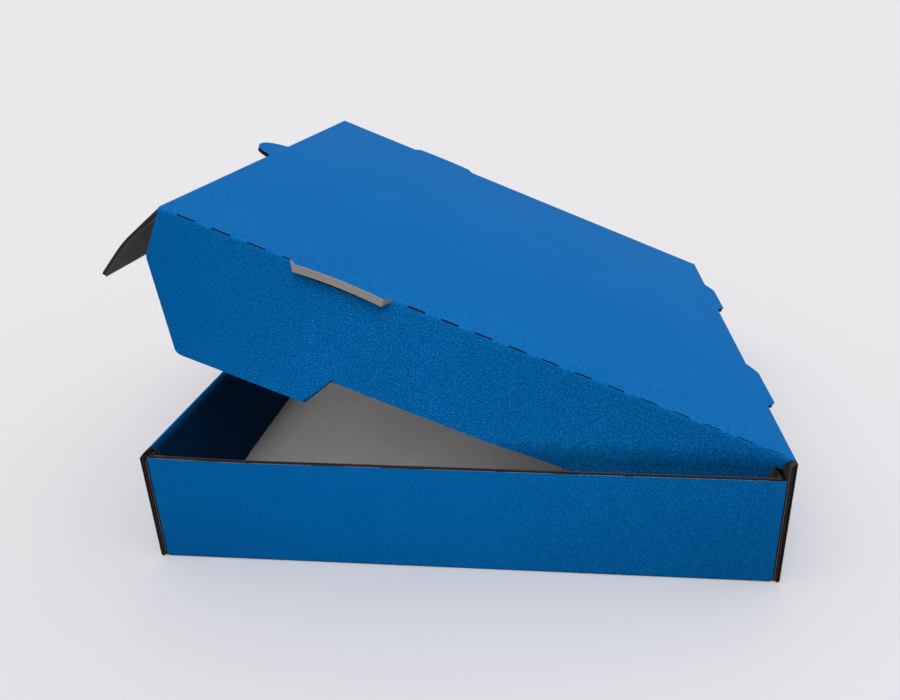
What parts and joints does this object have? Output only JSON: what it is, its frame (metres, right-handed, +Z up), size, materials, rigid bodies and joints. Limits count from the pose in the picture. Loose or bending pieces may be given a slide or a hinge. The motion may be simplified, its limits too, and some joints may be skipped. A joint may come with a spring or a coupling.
{
  "type": "pizza box",
  "caption": "Shallow square takeaway box of printed corrugated board, with a roll-over front wall and a hinged lid that has side flaps, a front flap and side vents.",
  "frame": {"origin": "middle of the tray's underside, on the surface it stands on", "axes": "+Z up, the front wall at -X, the lid's hinge along Y at +X, the side walls at -Y and +Y"},
  "size_m": [0.3185, 0.3144, 0.1855],
  "materials": {
    "printed_board": "matt blue print outside, unprinted board inside"
  },
  "bodies": {
    "tray": {"tray": "printed_board"},
    "lid": {"lid": "printed_board"},
    "front_flap": {"front_flap": "printed_board"}
  },
  "joints": [
    {"name": "lid_hinge", "type": "hinge", "parent": "tray", "child": "lid", "pos_m": [0.155, 0, 0.0665], "axis": [0, 1, 0], "range_deg": [-19.5, 157.6]},
    {"name": "front_flap_hinge", "type": "hinge", "parent": "lid", "child": "front_flap", "pos_m": [-0.12301, 0, 0.18109], "axis": [0, 1, 0], "range_deg": [-38.6, 60.4]}
  ]
}
